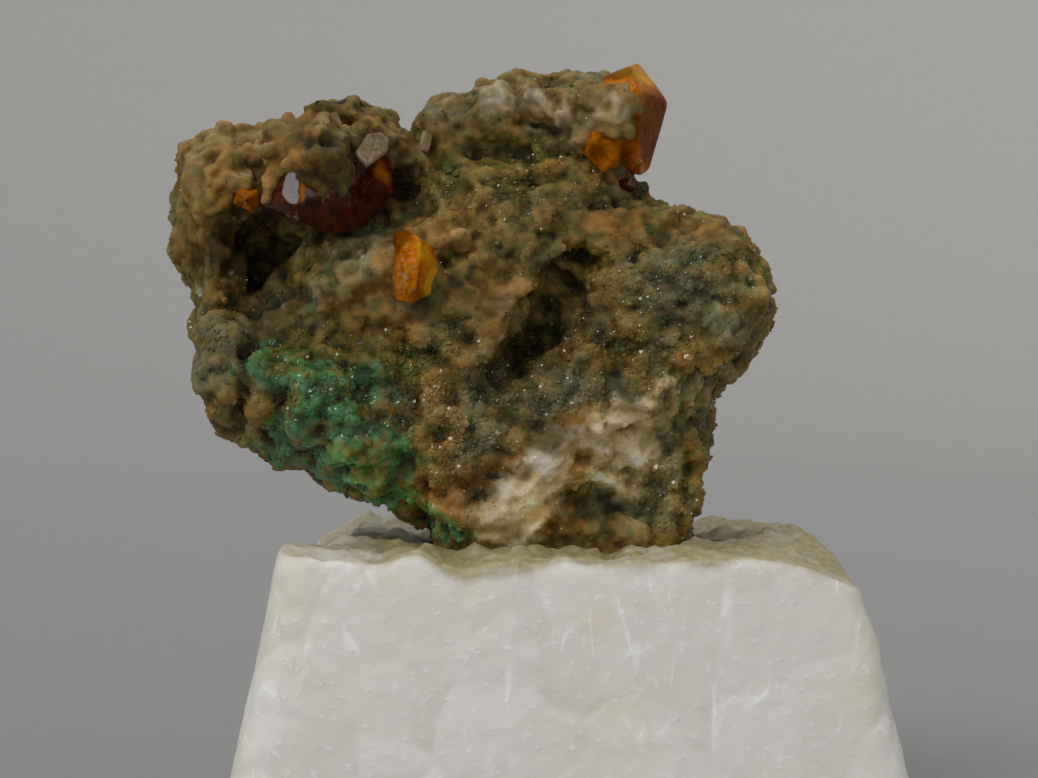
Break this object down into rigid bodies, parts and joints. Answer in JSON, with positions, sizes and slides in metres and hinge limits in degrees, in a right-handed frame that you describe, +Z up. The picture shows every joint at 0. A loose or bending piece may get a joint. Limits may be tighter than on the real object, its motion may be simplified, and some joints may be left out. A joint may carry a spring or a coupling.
{
  "type": "wulfenite specimen on a foam display block",
  "caption": "Orange wulfenite crystals on a drusy rock matrix with green malachite crust, seated in the hollow top of a white foam display block.",
  "frame": {"origin": "middle of the bounding box, on the plane of the block's underside", "axes": "+Z up, -Y towards the specimen's show side, +X to the right as seen from that side"},
  "size_m": [0.0308, 0.0276, 0.0341],
  "materials": {
    "foam": "matte",
    "matrix": "matte",
    "wulfenite_orange": "gloss",
    "wulfenite_deep": "gloss",
    "pale_crystal": "gloss",
    "malachite": "satin"
  },
  "bodies": {
    "root": {"foam_block": "foam", "matrix_rock": "matrix", "wulfenite_centre": "wulfenite_orange", "wulfenite_summit": "wulfenite_orange", "wulfenite_knob": "wulfenite_deep", "wulfenite_plate": "pale_crystal", "wulfenite_left": "wulfenite_orange", "wulfenite_red": "wulfenite_deep", "pale_blade": "pale_crystal", "pale_prism": "pale_crystal"}
  },
  "joints": []
}
